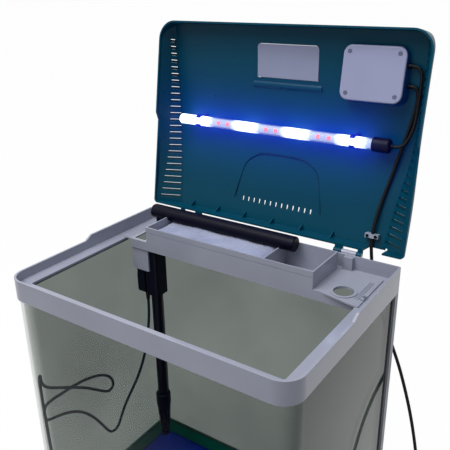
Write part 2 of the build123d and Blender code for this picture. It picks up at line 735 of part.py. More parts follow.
def bar_elbow():
    elbow = rod_x(BAR_R, BAR_X0, BAR_SOCKET_X, BAR_Y, BAR_Z)
    elbow = fillet(elbow.edges().sort_by(Axis.X)[0], 5)
    elbow += rod_z(RISER_R + 2, RISER_X, BAR_Y, SOCKET_Z, BAR_Z)
    elbow -= rod_z(RISER_R + PIN_RUN, RISER_X, BAR_Y, SOCKET_Z - 1, BAR_Z - 4)
    elbow -= rod_z(RISER_BORE_R, RISER_X, BAR_Y, SOCKET_Z, BAR_Z)
    return elbow - rod_x(BAR_BORE_R - 2, RISER_X, BAR_SOCKET_X + 1, BAR_Y, BAR_Z)


PUMP_Z0 = RIM_Z - MOTOR_DROP0
COLUMN_Z1 = RIM_Z - COLUMN_TOP_DROP
COLUMN_X = (COLUMN_X0 + COLUMN_X1) / 2
OUTLET_Z = COLUMN_Z1 - 14
PUMP_REAR_Y = PUMP_Y + PUMP_HALF_Y


def riser_pipe():
    """From the outlet in the column's rear face, round and up into the elbow's socket."""
    route = [
        (COLUMN_X, PUMP_REAR_Y - 3, OUTLET_Z),
        (COLUMN_X, BAR_Y - 4, OUTLET_Z),
        (RISER_X, BAR_Y, OUTLET_Z + 14),
        (RISER_X, BAR_Y, BAR_Z - 4.5),
    ]
    path = FilletPolyline(*route, radius=8)
    start = Plane(origin=path @ 0, z_dir=path % 0)
    pipe = sweep(start * Circle(RISER_R), path=path)
    return pipe - sweep(start * Circle(RISER_BORE_R), path=path)


# Pump: motor block with a rotor well, pump column, impeller on a fixed shaft, intake and strainer
IMPELLER_Z = RIM_Z - IMPELLER_DROP
STRAP_END_Z = RIM_Z - STRAP_END_DROP
STRAP_Y = TRAY_FRONT_Y + TRAY_WALL
STRAP_LIP_Y = STRAP_Y + STRAP_T + 3


def pump_motor():
    motor = block(MOTOR_X0, MOTOR_X1, PUMP_Y - PUMP_HALF_Y, PUMP_Y + PUMP_HALF_Y, PUMP_Z0, RIM_Z - MOTOR_DROP1)
    motor = fillet(motor.edges().filter_by(Axis.X), 5)
    motor = fillet(motor.edges().group_by(Axis.X)[0], 2)
    ear_y = PUMP_Y - PUMP_HALF_Y
    motor += block(MOTOR_X0 + 2, MOTOR_X1, ear_y, PUMP_Y, RIM_Z - MOTOR_DROP1 - 6, STRAP_END_Z + 5)
    motor -= block(MOTOR_X0, MOTOR_X1, ear_y - 1, STRAP_LIP_Y + FIT, STRAP_END_Z - FIT, STRAP_END_Z + 2)
    motor -= rod_x(MAGNET_WELL_R, MOTOR_X0 + 3, MOTOR_X1 + 1, PUMP_Y, IMPELLER_Z)
    return motor - rod_x(SHAFT_R, MOTOR_X0 + 1, MOTOR_X1, PUMP_Y, IMPELLER_Z)


def pump_housing():
    y0, y1 = PUMP_Y - PUMP_HALF_Y, PUMP_Y + PUMP_HALF_Y
    column = block(COLUMN_X0, COLUMN_X1, y0, y1, PUMP_Z0, COLUMN_Z1)
    column = fillet(column.edges().filter_by(Axis.Z), 5)
    column = fillet(column.edges().group_by(Axis.Z)[-1], 4)
    column -= rod_x(CHAMBER_R, COLUMN_X0 - 1, COLUMN_X0 + CHAMBER_L, PUMP_Y, IMPELLER_Z)
    column -= rod_z(INTAKE_R + PIN_RUN, INTAKE_X, PUMP_Y, PUMP_Z0 - 1, PUMP_Z0 + 6)
    column -= rod_z(RISER_BORE_R, COLUMN_X, PUMP_Y, IMPELLER_Z, COLUMN_Z1 - 8)
    outlet = Pos(COLUMN_X, PUMP_REAR_Y, OUTLET_Z) * Rot(90, 0, 0) * Cylinder(RISER_R + PIN_RUN, 6)
    return column - outlet


def impeller():
    """A magnet in the rotor well and a hub with straight blades in the chamber, on one bore."""
    x_face = COLUMN_X0 + 1.2
    rotor = rod_x(MAGNET_R, MOTOR_X0 + 4, x_face, PUMP_Y, IMPELLER_Z)
    rotor += rod_x(3, x_face - 1, x_face + 7, PUMP_Y, IMPELLER_Z)
    for k in range(BLADE_COUNT):
        blade = Pos(x_face + 4, 0, IMPELLER_R / 2) * Box(6, 1.2, IMPELLER_R)
        rotor += Pos(0, PUMP_Y, IMPELLER_Z) * Rot(360 / BLADE_COUNT * k, 0, 0) * blade
    return rotor - rod_x(SHAFT_R + PIN_RUN, MOTOR_X0, x_face + 12, PUMP_Y, IMPELLER_Z)


def impeller_shaft():
    return rod_x(SHAFT_R, MOTOR_X0 + 1, COLUMN_X0 + CHAMBER_L, PUMP_Y, IMPELLER_Z)


def pump_gland():
    """A tapered strain relief under the motor."""
    taper = Pos(PUMP_GLAND_X, PUMP_Y, PUMP_Z0 - PUMP_GLAND_L / 2)
    return taper * Cone(PUMP_CORD_D / 2 + 0.6, GLAND_R + 0.5, PUMP_GLAND_L)


def pump_hanger():
    """A strap down from the tray's apron, with a lip that hooks into the motor's ear."""
    strap = block(STRAP_X0, STRAP_X1, STRAP_Y, STRAP_Y + STRAP_T, STRAP_END_Z, LEDGE_Z - FIT)
    lip = block(STRAP_X0, MOTOR_X1 - 1, STRAP_Y, STRAP_LIP_Y, STRAP_END_Z, STRAP_END_Z + 2)
    return strap + lip


INTAKE_END_Z = RIM_Z - INTAKE_END_DROP


def intake_pipe():
    pipe = rod_z(INTAKE_R, INTAKE_X, PUMP_Y, INTAKE_END_Z, PUMP_Z0 + 6)
    return pipe - rod_z(INTAKE_BORE_R, INTAKE_X, PUMP_Y, INTAKE_END_Z - 1, PUMP_Z0 + 7)


def pipe_collar():
    z1 = INTAKE_END_Z + 3
    collar = rod_z(COLLAR_R, INTAKE_X, PUMP_Y, z1 - COLLAR_L, z1)
    collar = fillet(collar.edges().group_by(Axis.Z)[-1], 2)
    collar -= rod_z(INTAKE_R + PIN_RUN, INTAKE_X, PUMP_Y, INTAKE_END_Z, z1 + 1)
    return collar - rod_z(INTAKE_BORE_R, INTAKE_X, PUMP_Y, z1 - COLLAR_L - 1, INTAKE_END_Z + 1)


STRAINER_Z1 = INTAKE_END_Z + 3 - COLLAR_L


def strainer():
    """A tapering cage, closed at its tip, with rows of slots all round."""
    z0 = STRAINER_Z1 - STRAINER_L
    wall = 1.6
    profile = [
        (COLLAR_R - 1, STRAINER_Z1),
        (COLLAR_R - 1, STRAINER_Z1 - 6),
        (STRAINER_TIP_R, z0 + 3),
        (STRAINER_TIP_R - 2, z0),
        (0, z0),
    ]
    inside = [
        (0, z0 + wall),
        (STRAINER_TIP_R - 2 - wall / 2, z0 + wall),
        (COLLAR_R - 1 - wall, STRAINER_Z1 - 6),
        (COLLAR_R - 1 - wall, STRAINER_Z1),
    ]
    face = Face(Wire.make_polygon([(r, 0, z) for r, z in profile + inside], close=True))
    cage = Pos(INTAKE_X, PUMP_Y, 0) * revolve(face, Axis.Z)
    step = (STRAINER_L - 16) / STRAINER_SLOTS
    for k in range(STRAINER_SLOTS):
        z = z0 + 7 + step * k
        for turn in (0, 60, 120):
            slot = Rot(0, 0, turn) * Box(4, 60, step - 2.2)
            cage -= Pos(INTAKE_X, PUMP_Y, z + step / 2) * slot
    return cage


# Cords: straight runs joined by tangent arcs, each as large as its two runs allow
def cord_tube(name, points, diameter):
    points = [Vector(*p) for p in points]
    radii = []
    for before, here, after in zip(points, points[1:], points[2:]):
        turn = (here - before).get_angle(after - here)
        run = min((here - before).length, (after - here).length)
        radii.append(0.45 * run / math.tan(math.radians(turn / 2)))
    path = FilletPolyline(*points, radius=radii)
    tube = sweep(Plane(origin=path @ 0, z_dir=path % 0) * Circle(diameter / 2), path=path)
    share = tube.volume / (math.pi * diameter**2 / 4 * path.length)
    tight = sorted(round(r, 1) for r in radii)[:4]
    print(f"{name}: {path.length:.0f} mm long, volume share {share:.4f}, tightest radii {tight}")
    return tube


def lid_point(x, v, w):
    """A point of the lid where it stands open."""
    x, y, z = at(x, v, w)
    swing = math.radians(-HINGE_OPEN)
    dy, dz = y - HINGE_Y, z - HINGE_Z
    y = HINGE_Y + dy * math.cos(swing) - dz * math.sin(swing)
    return (x, y, HINGE_Z + dy * math.sin(swing) + dz * math.cos(swing))


LAMP_LEAD = [
    lid_point(GLAND_X, *LAMP_LEAD_AT),
    lid_point(190.0, *LAMP_LEAD_AT),
    lid_point(195.4, 240.0, 19.4),
    lid_point(196.6, 229.0, 20.6),
    lid_point(196.3, 211.0, 23.0),
    lid_point(195.4, 186.0, 25.8),
    lid_point(193.8, 167.0, 26.2),
    lid_point(188.4, 151.5, 25.4),
    lid_point(181.0, LAMP_V, LAMP_W),
    lid_point(LAMP_X2 + 3 + FIT, LAMP_V, LAMP_W),
]
SUPPLY_LEAD = [
    lid_point(GLAND_X, *SUPPLY_LEAD_AT),
    lid_point(190.0, *SUPPLY_LEAD_AT),
    lid_point(193.0, 212.5, 26.6),
    lid_point(192.0, 200.0, 29.0),
    lid_point(189.0, 181.0, 31.6),
    lid_point(183.6, 158.0, 34.6),
    lid_point(177.6, 132.0, 35.6),
    lid_point(171.4, 102.0, 33.8),
    lid_point(165.6, 74.0, 30.8),
    lid_point(161.4, 50.0, 27.8),
    lid_point(CLAMP_X, 29.0, CLAMP_W),
    lid_point(CLAMP_X, CLAMP_V0, CLAMP_W),
]
FLEX_END = (206.0, 170.0, 340.0)
LEAD_FLEX = [
    lid_point(CLAMP_X, CLAMP_V0, CLAMP_W),
    lid_point(CLAMP_X, 6.0, CLAMP_W),
    lid_point(161.6, -6.0, 23.2),
    (165.0, 173.3, 455.0),
    (171.5, 171.6, 431.0),
    (181.0, 170.4, 400.0),
    (193.5, 170.0, 369.0),
    FLEX_END,
]
COIL_START = (COIL_CENTRE[0], COIL_CENTRE[1] - COIL_R, MAINS_D / 2)
MAINS_CORD = [
    FLEX_END,
    (218.5, 170.0, 311.0),
    (230.0, 170.2, 277.0),
    (240.5, 170.4, 242.0),
    (249.0, 170.8, 207.0),
    (256.0, 171.6, 172.0),
    (262.0, 172.8, 136.0),
    (267.5, 174.8, 101.0),
    (273.5, 178.0, 68.0),
    (281.0, 182.5, 38.0),
    (292.0, 188.5, 13.0),
    (308.0, COIL_START[1], MAINS_D / 2),
    COIL_START,
]


def biarcs(points, tangents):
    """A smooth wire through the points: two arcs from each one to the next."""
    edges = []
    for k in range(len(points) - 1):
        p0, p1, t0, t1 = points[k], points[k + 1], tangents[k], tangents[k + 1]
        chord = p1 - p0
        total = t0 + t1
        bend = 2 * (1 - t0.dot(t1))
        along = chord.dot(total)
        reach = (math.sqrt(along**2 + bend * chord.dot(chord)) - along) / bend
        middle = (p0 + p1 + (t0 - t1) * reach) / 2
        edges.append(Edge.make_tangent_arc(p0, t0, middle))
        edges.append(Edge.make_tangent_arc(middle, (p1 - t1 * reach - middle).normalized(), p1))
    return Wire(edges)


COIL_IN = COIL_TURNS_LOW
COIL_TOP = COIL_IN + 0.5
COIL_ALL = COIL_TOP + COIL_TURNS_TOP


def coil_place(turn):
    """The coil at a number of turns: inward below, a climb of half a turn, outward above."""
    if turn <= COIL_IN:
        radius, rise = COIL_R - COIL_PITCH * turn, 0.0
    elif turn <= COIL_TOP:
        share = (turn - COIL_IN) / 0.5
        radius = COIL_R - COIL_PITCH * COIL_IN
        rise = COIL_LAYER * share * share * (3 - 2 * share)
    else:
        radius = COIL_R - COIL_PITCH * COIL_IN + COIL_PITCH * (turn - COIL_TOP)
        rise = COIL_LAYER
    angle = 2 * math.pi * turn - math.pi / 2
    x = COIL_CENTRE[0] + radius * math.cos(angle)
    y = COIL_CENTRE[1] + radius * math.sin(angle)
    return Vector(x, y, MAINS_D / 2 + rise)


def mains_coil():
    count = int(COIL_ALL * 4)
    step = 0.002
    points = []
    tangents = []
    for k in range(count + 1):
        turn = COIL_ALL * k / count
        ahead = coil_place(min(turn + step, COIL_ALL))
        points.append(coil_place(turn))
        tangents.append((ahead - coil_place(max(turn - step, 0))).normalized())
    tangents[0] = Vector(1, 0, 0)
    path = biarcs(points, tangents)
    start = Plane(origin=points[0], z_dir=tangents[0])
    tube = sweep(start * Circle(MAINS_D / 2), path=path)
    share = tube.volume / (math.pi * MAINS_D**2 / 4 * path.length)
    dots = [path @ (k / 900) for k in range(901)]
    skip = int(900 * MAINS_D * 4 / path.length)
    gap = min((dots[a] - dots[b]).length for a in range(0, 901, 3) for b in range(a + skip, 901, 3))
    print(f"coil: {path.length:.0f} mm long, volume share {share:.4f}, least gap {gap - MAINS_D:.2f} mm")
    return tube, points[-1], tangents[-1]


PUMP_CORD = [
    (PUMP_GLAND_X, PUMP_Y, PUMP_Z0 - PUMP_GLAND_L),
    (PUMP_GLAND_X, PUMP_Y, 325.0),
    (-173.2, 73.0, 293.0),
    (-175.6, 66.5, 257.0),
    (-182.0, 56.0, 218.0),
    (-191.0, 44.5, 187.0),
    (-198.5, 31.0, 160.0),
    (-202.0, 21.5, 138.0),
    (-203.2, 12.5, 119.0),
    (-203.5, -4.5, 118.0),
    (-203.5, -18.0, 141.0),
    (-203.5, -32.0, 165.5),
    (-203.5, -50.0, 190.5),
    (-203.5, -71.0, 209.0),
    (-203.5, -94.0, 220.0),
    (-203.2, -114.0, 225.5),
    (-202.6, -127.0, 229.5),
    (-201.5, -131.0, 242.5),
    (-202.6, -126.5, 255.5),
    (-204.0, -112.0, 257.0),
    (-204.4, -95.0, 255.4),
    (-204.5, -74.0, 255.5),
    (-204.5, -44.0, 251.8),
    (-204.0, -16.0, 243.0),
    (-203.2, 0.5, 232.5),
    (-202.0, 9.5, 220.0),
    (-200.4, 8.5, 207.0),
    (-199.0, -5.0, 205.5),
    (-197.8, -22.0, 218.5),
    (-196.8, -50.0, 242.5),
    (-197.0, -79.0, 261.5),
    (-198.6, -105.0, 276.0),
    (-201.4, -120.0, 285.0),
    (-202.3, -126.5, 296.0),
    (-202.3, -126.5, 311.0),
    (-194.5, -134.5, 311.0),
    (-194.4, -134.6, 297.0),
    (-193.6, -135.2, 279.0),
    (-194.2, -134.6, 258.0),
    (-193.2, -134.8, 232.0),
    (-194.6, -133.6, 205.0),
    (-193.4, -133.0, 172.0),
    (-193.8, -131.6, 138.0),
    (-192.4, -130.6, 104.0),
    (-190.5, -128.0, 72.0),
    (-183.5, -122.5, 45.0),
    (-168.0, -115.5, 29.5),
    (-145.0, -109.0, 25.0),
    (-115.0, -103.0, 25.4),
    (-92.0, -98.5, FLOOR_Z + PLUG_H / 2),
    (-72.0, -98.5, FLOOR_Z + PLUG_H / 2),
]


def plug(tip, heading):
    """A moulded plug: a waisted body, lying flat, with its cord entering at tip."""
    place = Plane(origin=tip, x_dir=heading, z_dir=(0, 0, 1))
    stem = Rot(0, 90, 0) * Pos(0, 0, 5) * Cylinder(4.2, 10)
    body = loft(
        [
            Plane(origin=(8, 0, 0), x_dir=(0, 1, 0), z_dir=(1, 0, 0)) * RectangleRounded(12, PLUG_H - 3, 3),
            Plane(origin=(8 + PLUG_L * 0.45, 0, 0), x_dir=(0, 1, 0), z_dir=(1, 0, 0))
            * RectangleRounded(PLUG_W, PLUG_H, 5),
            Plane(origin=(8 + PLUG_L, 0, 0), x_dir=(0, 1, 0), z_dir=(1, 0, 0))
            * RectangleRounded(PLUG_W, PLUG_H, 5),
        ],
        ruled=True,
    )
    face = 8 + PLUG_L
    prongs = []
    for side in (-1, 1):
        y = side * PRONG_SPACING / 2
        prong = Pos(face + PRONG_L / 2, y, 0) * Rot(0, 90, 0) * Cylinder(PRONG_R, PRONG_L)
        prongs.append(place.location * fillet(prong.edges().sort_by(Axis.X)[-1], 1))
    return place.location * (stem + body), prongs


# Build and write every piece
save("base_tray", base_tray())
save("floor_mat", floor_mat())
save("bottom_glass", bottom_glass())
save("bent_glass", bent_glass())
save("back_glass", back_glass())
save("glass_seams", *glass_seams())
save("corner_trims", corner_trim(), mirror(corner_trim(), about=Plane.YZ))
save("top_frame", top_frame())
save("hinge_pins", hinge_pin(), mirror(hinge_pin(), about=Plane.YZ))

save("lid_shell", opened(lid_shell()))
save("feeding_hatch", opened(feeding_hatch()))
save("hatch_pin", opened(hatch_pin()))
save("lamp_tube", opened(lamp_tube()))
save("lamp_end_cap", opened(lamp_end_cap()))
save("led_strip", opened(led_strip()))
save("leds_white", *[opened(led(k)) for k in range(LED_COUNT) if k not in LED_RED])
save("leds_red", *[opened(led(k)) for k in LED_RED])
save("lamp_clips", *[opened(lamp_clip(x)) for x in CLIP_X])
save("power_box", opened(power_box()))
save("power_box_cover", opened(power_box_cover()))
save("box_screws", *[opened(box_screw(x, y)) for x, y in box_screw_places()])
save("box_glands", opened(gland(*LAMP_LEAD_AT)), opened(gland(*SUPPLY_LEAD_AT)))
save("cable_clamp", opened(cable_clamp()))
save("clamp_screws", *[opened(clamp_screw(x)) for x in (CLAMP_X0 + 3.5, CLAMP_X1 - 3.5)])

save("filter_tray", filter_tray())
save("tray_catch", tray_catch())
save("filter_wool", filter_wool())
save("spray_bar", spray_bar())
save("bar_plug", bar_plug())
save("bar_elbow", bar_elbow())
save("riser_pipe", riser_pipe())
save("pump_motor", pump_motor())
save("pump_housing", pump_housing())
save("impeller", impeller())
save("impeller_shaft", impeller_shaft())
save("pump_hanger", pump_hanger())
save("intake_pipe", intake_pipe())
save("pipe_collar", pipe_collar())
save("strainer", strainer())
save("pump_gland", pump_gland())

save("lamp_lead", cord_tube("lamp lead", LAMP_LEAD, LEAD_D))
save("supply_lead", cord_tube("supply lead", SUPPLY_LEAD, LEAD_D))
save("lead_flex", cord_tube("lead over the hinge", LEAD_FLEX, LEAD_D))
save("mains_cord", cord_tube("mains cord", MAINS_CORD, MAINS_D))
COIL, COIL_TIP, COIL_HEADING = mains_coil()
save("mains_coil", COIL)
save("pump_cord", cord_tube("pump cord", PUMP_CORD, PUMP_CORD_D))

# The mains cord leaves the coil's upper layer and ends in its plug
TAIL_END = COIL_TIP + Vector(60.0, -5.0, PLUG_H / 2 - COIL_TIP.Z)
TAIL = [COIL_TIP, COIL_TIP + COIL_HEADING * 20, (COIL_TIP + TAIL_END) / 2 + Vector(8.0, 0.8, 0.0), TAIL_END]
save("mains_tail", cord_tube("mains tail", TAIL, MAINS_D))
for name, tip, heading in (
    ("mains", TAIL_END, (TAIL_END - TAIL[-2])),
    ("pump", Vector(*PUMP_CORD[-1]), Vector(1, 0, 0)),
):
    body, prongs = plug(tip, Vector(heading.X, heading.Y, 0).normalized())
    save(f"{name}_plug", body)
    save(f"{name}_prongs", *prongs)
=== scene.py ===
import json
import math
import random

import bmesh
import bpy
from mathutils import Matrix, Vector


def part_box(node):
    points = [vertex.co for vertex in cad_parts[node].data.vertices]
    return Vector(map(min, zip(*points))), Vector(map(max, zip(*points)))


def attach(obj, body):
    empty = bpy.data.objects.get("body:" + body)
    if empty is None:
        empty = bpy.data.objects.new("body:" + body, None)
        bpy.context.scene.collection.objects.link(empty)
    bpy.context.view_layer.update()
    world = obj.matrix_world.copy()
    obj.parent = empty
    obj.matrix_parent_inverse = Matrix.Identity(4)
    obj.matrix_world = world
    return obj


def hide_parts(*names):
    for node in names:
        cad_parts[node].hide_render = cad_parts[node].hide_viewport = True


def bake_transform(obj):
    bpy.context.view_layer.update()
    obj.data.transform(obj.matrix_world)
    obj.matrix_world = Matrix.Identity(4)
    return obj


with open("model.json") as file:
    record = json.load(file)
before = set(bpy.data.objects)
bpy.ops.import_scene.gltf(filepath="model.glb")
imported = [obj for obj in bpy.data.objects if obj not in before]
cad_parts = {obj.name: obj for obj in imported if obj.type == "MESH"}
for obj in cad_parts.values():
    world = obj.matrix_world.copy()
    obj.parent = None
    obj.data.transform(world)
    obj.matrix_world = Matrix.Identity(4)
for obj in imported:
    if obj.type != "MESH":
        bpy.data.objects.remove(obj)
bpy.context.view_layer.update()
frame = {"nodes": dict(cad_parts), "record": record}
node = frame["nodes"]


# Room. A pale floor and a white room round the tank, two large soft lamps above it, one of them
# to the left front, and the camera where the photographer stood: in front of the tank's right
# corner, looking down into it.
def set_out(name, data):
    """Puts a mesh, curve, lamp or camera into the scene as an object."""
    thing = bpy.data.objects.new(name, data)
    bpy.context.scene.collection.objects.link(thing)
    return thing


def new_shader(name):
    """A material with an empty node tree and its output."""
    material = bpy.data.materials.new(name)
    material.use_nodes = True
    tree = material.node_tree
    tree.nodes.clear()
    return material, tree, tree.nodes.new("ShaderNodeOutputMaterial")


def join(tree, *pairs):
    """Links sockets, given as (from, to) pairs."""
    for start, end in pairs:
        tree.links.new(start, end)


def maths(tree, operation, *values):
    """One step of arithmetic in a material, on sockets and plain numbers."""
    step = tree.nodes.new("ShaderNodeMath")
    step.operation = operation
    for socket, value in zip(step.inputs, values):
        if isinstance(value, (int, float)):
            socket.default_value = value
        else:
            join(tree, (value, socket))
    return step.outputs[0]


def mix_shaders(tree, share, first, second):
    """The first shader where the share is 0, the second where it is 1."""
    mixer = tree.nodes.new("ShaderNodeMixShader")
    join(
        tree,
        (share, mixer.inputs[0]),
        (first.outputs[0], mixer.inputs[1]),
        (second.outputs[0], mixer.inputs[2]),
    )
    return mixer


def straight_look(tree):
    """1 for the camera and for what glass and gloss show of the room, else 0."""
    path = tree.nodes.new("ShaderNodeLightPath")
    glossy = maths(tree, "MAXIMUM", path.outputs["Is Camera Ray"], path.outputs["Is Glossy Ray"])
    return maths(tree, "MAXIMUM", glossy, path.outputs["Is Transmission Ray"])


WHITE = (1, 1, 1, 1)
ROOM_TINT = (0.93, 0.96, 1.0, 1)
ROOM_LIGHT = 0.42
room = bpy.data.worlds.new("room")
room.use_nodes = True
bpy.context.scene.world = room
air = room.node_tree
air.nodes.clear()
sky_light = air.nodes.new("ShaderNodeBackground")
sky_light.inputs["Color"].default_value = ROOM_TINT
sky_light.inputs["Strength"].default_value = ROOM_LIGHT
sky_seen = air.nodes.new("ShaderNodeBackground")
sky_seen.inputs["Color"].default_value = WHITE
sky_mix = mix_shaders(air, straight_look(air), sky_light, sky_seen)
join(air, (sky_mix.outputs[0], air.nodes.new("ShaderNodeOutputWorld").inputs[0]))

# The floor lies a hair under the tank. Most of what is seen of it is plain white, and the rest is
# matt grey, which keeps the tank's shadow.
FLOOR_HALF = 60.0
FLOOR_TOP = -0.0004
FLOOR_GREY = (0.34, 0.35, 0.36, 1)
FLOOR_WHITE = 1.04
WHITE_SHARE = 0.94
sheet = bpy.data.meshes.new("floor")
corners = [(-1, -1), (1, -1), (1, 1), (-1, 1)]
sheet.from_pydata([(x * FLOOR_HALF, y * FLOOR_HALF, FLOOR_TOP) for x, y in corners], [], [(0, 1, 2, 3)])
set_out("floor", sheet)
pale, tree, out = new_shader("pale floor")
matt = tree.nodes.new("ShaderNodeBsdfDiffuse")
matt.inputs["Color"].default_value = FLOOR_GREY
plain_white = tree.nodes.new("ShaderNodeEmission")
plain_white.inputs["Strength"].default_value = FLOOR_WHITE
floor_share = maths(tree, "MULTIPLY", straight_look(tree), WHITE_SHARE)
floor_mix = mix_shaders(tree, floor_share, matt, plain_white)
join(tree, (floor_mix.outputs[0], out.inputs[0]))
sheet.materials.append(pale)


def soft_lamp(name, place, target, size, power):
    """A square soft box that looks at its target: places and size in metres, power in watts."""
    lamp = bpy.data.lights.new(name, "AREA")
    lamp.size = size
    lamp.energy = power
    box = set_out(name, lamp)
    box.location = place
    box.rotation_euler = (Vector(target) - Vector(place)).to_track_quat("-Z", "Y").to_euler()


soft_lamp("key", place=(-0.6, -1.0, 2.4), target=(0, 0, 0.35), size=1.4, power=34)
soft_lamp("top", place=(0.0, -0.3, 2.6), target=(0, 0, 0.4), size=1.2, power=16)

CAMERA_PLACE = (0.43725, -0.57515, 0.83458)
CAMERA_TURN = (67.8965, 0.9818, 34.4457)
camera = bpy.data.cameras.new("camera")
camera.lens = 49.04
camera.sensor_width = 36.0
camera.clip_start = 0.05
camera.clip_end = 100.0
tripod = set_out("camera", camera)
tripod.location = CAMERA_PLACE
tripod.rotation_euler = [math.radians(turn) for turn in CAMERA_TURN]
bpy.context.scene.camera = tripod
bpy.context.scene.view_settings.view_transform = "Standard"


# Base tray. One injection moulding in satin sea-green plastic: a band round the foot of the
# glass, and a deck with ribs under it. A dark blue plastic sheet lies on the deck.
def seen(red, green, blue):
    """A colour as the eye gives it, 0 to 255, as the amounts of light a shader takes."""
    light = [c / 255 for c in (red, green, blue)]
    return (*[c / 12.92 if c < 0.04045 else ((c + 0.055) / 1.055) ** 2.4 for c in light], 1.0)


def toned(colour, factor):
    """A colour made darker, or lighter where the factor is above 1."""
    return (*[min(c * factor, 1.0) for c in colour[:3]], 1.0)


def coordinates(tree):
    """A point's own place on the piece, in metres, which stays with the piece as it moves."""
    return tree.nodes.new("ShaderNodeTexCoord").outputs["Object"]


def own_place(tree):
    """The same place as three sockets, under the names X, Y and Z."""
    parts = tree.nodes.new("ShaderNodeSeparateXYZ")
    join(tree, (coordinates(tree), parts.inputs[0]))
    return parts.outputs


def noise(tree, scale, detail=2.0):
    """Cloudy noise with so many patches to the metre."""
    cloud = tree.nodes.new("ShaderNodeTexNoise")
    cloud.inputs["Scale"].default_value = scale
    cloud.inputs["Detail"].default_value = detail
    join(tree, (coordinates(tree), cloud.inputs["Vector"]))
    return cloud.outputs["Fac"]


def spread(tree, source, low, high, from_low=0.3, from_high=0.7):
    """A number that runs from low to high as its source goes over its own range."""
    steps = tree.nodes.new("ShaderNodeMapRange")
    steps.inputs["From Min"].default_value = from_low
    steps.inputs["From Max"].default_value = from_high
    steps.inputs["To Min"].default_value = low
    steps.inputs["To Max"].default_value = high
    join(tree, (source, steps.inputs["Value"]))
    return steps.outputs["Result"]


def blend_colours(tree, share, first, second):
    """The first colour where the share is 0, the second where it is 1; each is a colour or a socket."""
    mixer = tree.nodes.new("ShaderNodeMix")
    mixer.data_type = "RGBA"
    for socket, value in ((mixer.inputs[6], first), (mixer.inputs[7], second)):
        if isinstance(value, tuple):
            socket.default_value = value
        else:
            join(tree, (value, socket))
    join(tree, (share, mixer.inputs[0]))
    return mixer.outputs[2]


def relief(tree, shader, source, depth):
    """Lets the shader's surface rise and fall by depth metres."""
    bump = tree.nodes.new("ShaderNodeBump")
    bump.inputs["Strength"].default_value = 1.0
    bump.inputs["Distance"].default_value = depth
    join(tree, (source, bump.inputs["Height"]), (bump.outputs["Normal"], shader.inputs["Normal"]))


def moulded(name, colour, gloss, grain=1400.0, depth=0.00004, drift=0.07, coat=0.0, shine=0.3):
    """Moulded plastic: a fine spark-eroded skin, tone that drifts slowly, uneven gloss."""
    material, tree, out = new_shader(name)
    shader = tree.nodes.new("ShaderNodeBsdfPrincipled")
    shader.inputs["IOR"].default_value = 1.49
    shader.inputs["Coat Weight"].default_value = coat
    shader.inputs["Specular IOR Level"].default_value = shine
    slow = spread(tree, noise(tree, scale=9.0, detail=3.0), 0.0, 1.0)
    tone = blend_colours(tree, slow, toned(colour, 1 - drift), toned(colour, 1 + drift))
    scuff = spread(tree, noise(tree, scale=60.0, detail=6.0), gloss * 0.85, gloss * 1.2)
    relief(tree, shader, noise(tree, grain, detail=1.0), depth)
    join(
        tree,
        (tone, shader.inputs["Base Color"]),
        (scuff, shader.inputs["Roughness"]),
        (shader.outputs[0], out.inputs[0]),
    )
    return material


def dress(material, *names):
    """Gives CAD pieces their finish."""
    for name in names:
        for slot in node[name].material_slots:
            slot.material = material


dress(moulded("sea green plastic", seen(2, 124, 104), 0.32, shine=0.12), "base_tray")
dress(moulded("blue floor sheet", seen(4, 44, 150), 0.42, grain=700.0, drift=0.12, shine=0.1), "floor_mat")

# Glass. One 4 mm pane is bent round the front and both sides; a flat pane closes the rear and another
# is the floor. The front is clear. On the sides and the rear the dim room's shade is painted as a grey
# tint and a thin grey film, uneven in blotches, which stops at the foot band.
FRONT_BEND = (-0.141, -0.112)
BAND_LIP = (0.046, 0.049)
FRONT_TINT_POWER = 0.12
MIRROR_FROM = 0.012


def pane(name, tint, shade_film, mirror):
    """Float glass: it passes light by its tint, mirrors at a slant, and carries a thin grey film; behind
    the front, tint and film are painted shade of the dim room.
    """
    material, tree, out = new_shader(name)
    place = own_place(tree)
    behind_front = spread(tree, place["Y"], 0.0, 1.0, *FRONT_BEND)
    above_band = spread(tree, place["Z"], 0.0, 1.0, *BAND_LIP)
    # Painted shade of the dim room, seen through the sides and the rear: behind the front bend and above
    # the foot band.
    room_shade_mask = maths(tree, "MULTIPLY", behind_front, above_band)
    marks = noise(tree, scale=5.0, detail=6.0)
    blotch_share = spread(tree, marks, 0.0, 1.0, from_low=0.35, from_high=0.75)
    blotched_tint = blend_colours(tree, blotch_share, tint, toned(tint, 0.93))
    front = (*[c**FRONT_TINT_POWER for c in tint[:3]], 1.0)
    clear = tree.nodes.new("ShaderNodeBsdfTransparent")
    join(tree, (blend_colours(tree, room_shade_mask, front, blotched_tint), clear.inputs["Color"]))
    # A grey sheet of painted shade, thicker in blotches.
    painted_shade_sheet = tree.nodes.new("ShaderNodeBsdfDiffuse")
    painted_shade_sheet.inputs["Color"].default_value = seen(122, 128, 124)
    thickness = spread(tree, marks, shade_film * 0.6, shade_film * 1.5, from_low=0.3, from_high=0.8)
    shade_filmed = mix_shaders(tree, maths(tree, "MULTIPLY", thickness, room_shade_mask), clear, painted_shade_sheet)
    gloss = tree.nodes.new("ShaderNodeBsdfGlossy")
    gloss.inputs["Color"].default_value = WHITE
    gloss.inputs["Roughness"].default_value = 0.02
    slant = tree.nodes.new("ShaderNodeLayerWeight")
    slant.inputs["Blend"].default_value = 0.5
    steep = maths(tree, "POWER", slant.outputs["Facing"], 5.0)
    mirrored = spread(tree, steep, 0.0, mirror, from_low=MIRROR_FROM, from_high=1.0)
    join(tree, (mix_shaders(tree, mirrored, shade_filmed, gloss).outputs[0], out.inputs[0]))
    return material


dress(pane("float glass with painted room shade", seen(182, 187, 184), shade_film=0.16, mirror=0.7), "bent_glass", "back_glass")
dress(pane("floor glass", seen(236, 244, 242), shade_film=0.001, mirror=0.1), "bottom_glass")
dress(moulded("blue-grey silicone", seen(40, 92, 118), 0.3, grain=300.0, depth=0.0001), "glass_seams")

